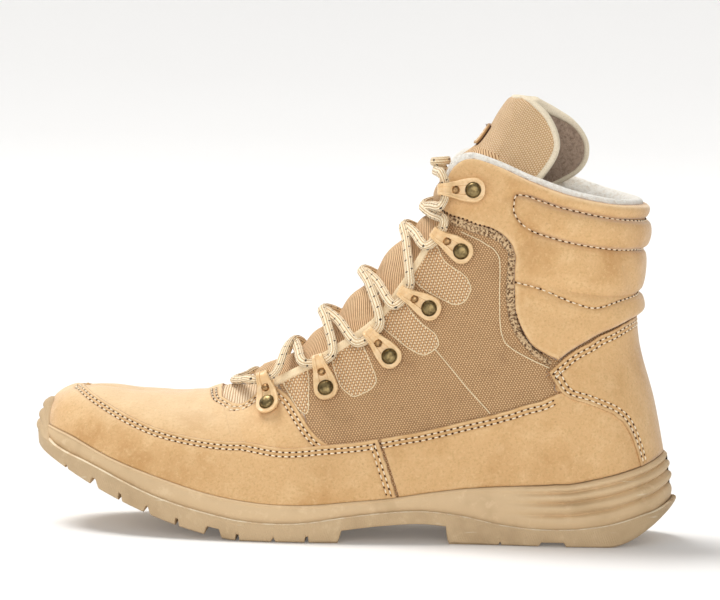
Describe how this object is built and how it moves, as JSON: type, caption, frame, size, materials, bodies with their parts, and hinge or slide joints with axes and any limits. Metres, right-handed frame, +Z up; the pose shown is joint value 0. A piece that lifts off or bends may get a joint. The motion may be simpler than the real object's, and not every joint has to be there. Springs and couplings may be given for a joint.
{
  "type": "hiking boot",
  "caption": "Left mid-high hiking boot in tan nubuck and brown woven textile, with lace loops, padded collar and rubber lug sole.",
  "frame": {"origin": "on the floor, under the middle of the sole's outline", "axes": "+X from toe to heel, +Y to the boot's medial side, +Z up"},
  "size_m": [0.3022, 0.11, 0.2063],
  "materials": {
    "nubuck": "matte brushed nubuck",
    "textile": "coarse woven",
    "rubber": "matte moulded",
    "tread_rubber": "matte moulded",
    "fleece": "soft pile",
    "binding": "woven tape",
    "coated_plate": "satin coating",
    "antique_brass": "antique",
    "lace_cord": "braided with dark flecks"
  },
  "bodies": {
    "root": {"outsole": "tread_rubber", "midsole": "rubber", "insole": "fleece", "upper": "textile", "vamp": "nubuck", "rand": "nubuck", "foxing_lateral": "nubuck", "foxing_medial": "nubuck", "heel_counter": "nubuck", "collar_cuff": "nubuck", "throat_tape_lateral": "binding", "throat_tape_medial": "binding", "tongue": "textile", "tongue_patch": "nubuck", "lace_bar": "lace_cord", "lace_tie": "lace_cord", "lace_crossing_1": "lace_cord", "lace_crossing_2": "lace_cord", "lace_crossing_3": "lace_cord", "lace_crossing_4": "lace_cord", "lace_crossing_5": "lace_cord", "lace_loop_lateral_1": "coated_plate", "rivet_lateral_1": "antique_brass", "lace_loop_lateral_2": "coated_plate", "rivet_lateral_2": "antique_brass", "lace_loop_lateral_3": "coated_plate", "rivet_lateral_3": "antique_brass", "lace_loop_lateral_4": "coated_plate", "rivet_lateral_4": "antique_brass", "lace_loop_lateral_5": "coated_plate", "rivet_lateral_5": "antique_brass", "lace_loop_lateral_6": "coated_plate", "rivet_lateral_6": "antique_brass", "lace_loop_medial_1": "coated_plate", "rivet_medial_1": "antique_brass", "lace_loop_medial_2": "coated_plate", "rivet_medial_2": "antique_brass", "lace_loop_medial_3": "coated_plate", "rivet_medial_3": "antique_brass", "lace_loop_medial_4": "coated_plate", "rivet_medial_4": "antique_brass", "lace_loop_medial_5": "coated_plate", "rivet_medial_5": "antique_brass", "lace_loop_medial_6": "coated_plate", "rivet_medial_6": "antique_brass"}
  },
  "joints": []
}
